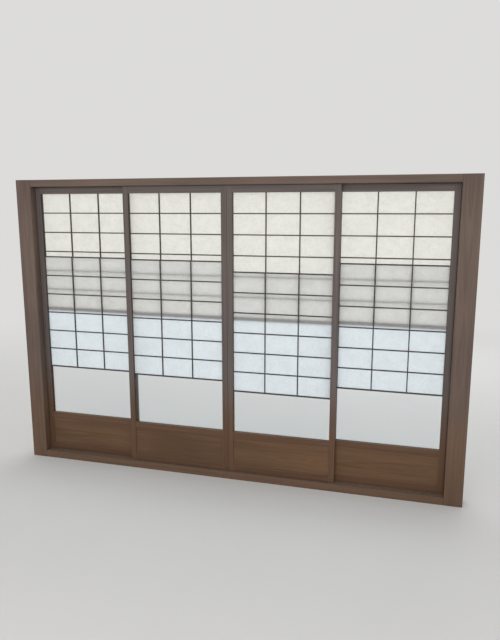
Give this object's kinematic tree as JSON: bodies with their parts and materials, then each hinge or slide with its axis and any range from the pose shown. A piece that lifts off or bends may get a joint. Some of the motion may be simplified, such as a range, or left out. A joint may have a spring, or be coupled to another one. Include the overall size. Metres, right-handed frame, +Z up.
{
  "type": "shoji sliding screen",
  "caption": "Sliding paper screens in a grooved timber frame: lattice leaves with a glass window, a hip board and a lift-up paper screen.",
  "frame": {"origin": "on the floor under the sill, midway between the posts and midway through their depth", "axes": "+X along the opening, to the right as seen from the room; +Y outwards, away from the room; +Z up"},
  "size_m": [2.832, 0.105, 1.871],
  "materials": {
    "frame_wood": "planed timber, darkened with age",
    "leaf_wood": "planed softwood, brown with age, satin",
    "board_wood": "straight-grained board, brown with age",
    "bar_wood": "planed softwood bars",
    "screen_paper": "thin fibrous paper that lets light through",
    "pane_glass": "clear float glass",
    "spring_steel": "bright spring strip"
  },
  "bodies": {
    "frame": {"head": "frame_wood", "sill": "frame_wood", "left_post": "frame_wood", "right_post": "frame_wood"},
    "leaf_1": {"leaf_1_left_stile": "leaf_wood", "leaf_1_right_stile": "leaf_wood", "leaf_1_bottom_rail": "leaf_wood", "leaf_1_hip_rail": "leaf_wood", "leaf_1_middle_rail": "leaf_wood", "leaf_1_top_rail": "leaf_wood", "leaf_1_hip_board": "board_wood", "leaf_1_glass": "pane_glass", "leaf_1_lattice": "bar_wood", "leaf_1_paper": "screen_paper"},
    "screen_1": {"screen_1_frame": "bar_wood", "screen_1_lattice": "bar_wood", "screen_1_paper": "screen_paper", "screen_1_spring": "spring_steel"},
    "leaf_2": {"leaf_2_left_stile": "leaf_wood", "leaf_2_right_stile": "leaf_wood", "leaf_2_bottom_rail": "leaf_wood", "leaf_2_hip_rail": "leaf_wood", "leaf_2_middle_rail": "leaf_wood", "leaf_2_top_rail": "leaf_wood", "leaf_2_hip_board": "board_wood", "leaf_2_glass": "pane_glass", "leaf_2_lattice": "bar_wood", "leaf_2_paper": "screen_paper"},
    "screen_2": {"screen_2_frame": "bar_wood", "screen_2_lattice": "bar_wood", "screen_2_paper": "screen_paper", "screen_2_spring": "spring_steel"},
    "leaf_3": {"leaf_3_left_stile": "leaf_wood", "leaf_3_right_stile": "leaf_wood", "leaf_3_bottom_rail": "leaf_wood", "leaf_3_hip_rail": "leaf_wood", "leaf_3_middle_rail": "leaf_wood", "leaf_3_top_rail": "leaf_wood", "leaf_3_hip_board": "board_wood", "leaf_3_glass": "pane_glass", "leaf_3_lattice": "bar_wood", "leaf_3_paper": "screen_paper"},
    "screen_3": {"screen_3_frame": "bar_wood", "screen_3_lattice": "bar_wood", "screen_3_paper": "screen_paper", "screen_3_spring": "spring_steel"},
    "leaf_4": {"leaf_4_left_stile": "leaf_wood", "leaf_4_right_stile": "leaf_wood", "leaf_4_bottom_rail": "leaf_wood", "leaf_4_hip_rail": "leaf_wood", "leaf_4_middle_rail": "leaf_wood", "leaf_4_top_rail": "leaf_wood", "leaf_4_hip_board": "board_wood", "leaf_4_glass": "pane_glass", "leaf_4_lattice": "bar_wood", "leaf_4_paper": "screen_paper"},
    "screen_4": {"screen_4_frame": "bar_wood", "screen_4_lattice": "bar_wood", "screen_4_paper": "screen_paper", "screen_4_spring": "spring_steel"}
  },
  "joints": [
    {"name": "leaf_1_slide", "type": "slide", "parent": "frame", "child": "leaf_1", "axis": [1, 0, 0], "range_m": [0, 1.2745]},
    {"name": "leaf_2_slide", "type": "slide", "parent": "frame", "child": "leaf_2", "axis": [1, 0, 0], "range_m": [-0.63725, 0]},
    {"name": "leaf_3_slide", "type": "slide", "parent": "frame", "child": "leaf_3", "axis": [1, 0, 0], "range_m": [0, 0.63725]},
    {"name": "leaf_4_slide", "type": "slide", "parent": "frame", "child": "leaf_4", "axis": [1, 0, 0], "range_m": [-1.2745, 0]},
    {"name": "screen_1_lift", "type": "slide", "parent": "leaf_1", "child": "screen_1", "axis": [0, 0, 1], "range_m": [-0.326, 0.3999]},
    {"name": "screen_2_lift", "type": "slide", "parent": "leaf_2", "child": "screen_2", "axis": [0, 0, 1], "range_m": [-0.323, 0.4029]},
    {"name": "screen_3_lift", "type": "slide", "parent": "leaf_3", "child": "screen_3", "axis": [0, 0, 1], "range_m": [-0.263, 0.4629]},
    {"name": "screen_4_lift", "type": "slide", "parent": "leaf_4", "child": "screen_4", "axis": [0, 0, 1], "range_m": [-0.326, 0.3999]}
  ]
}
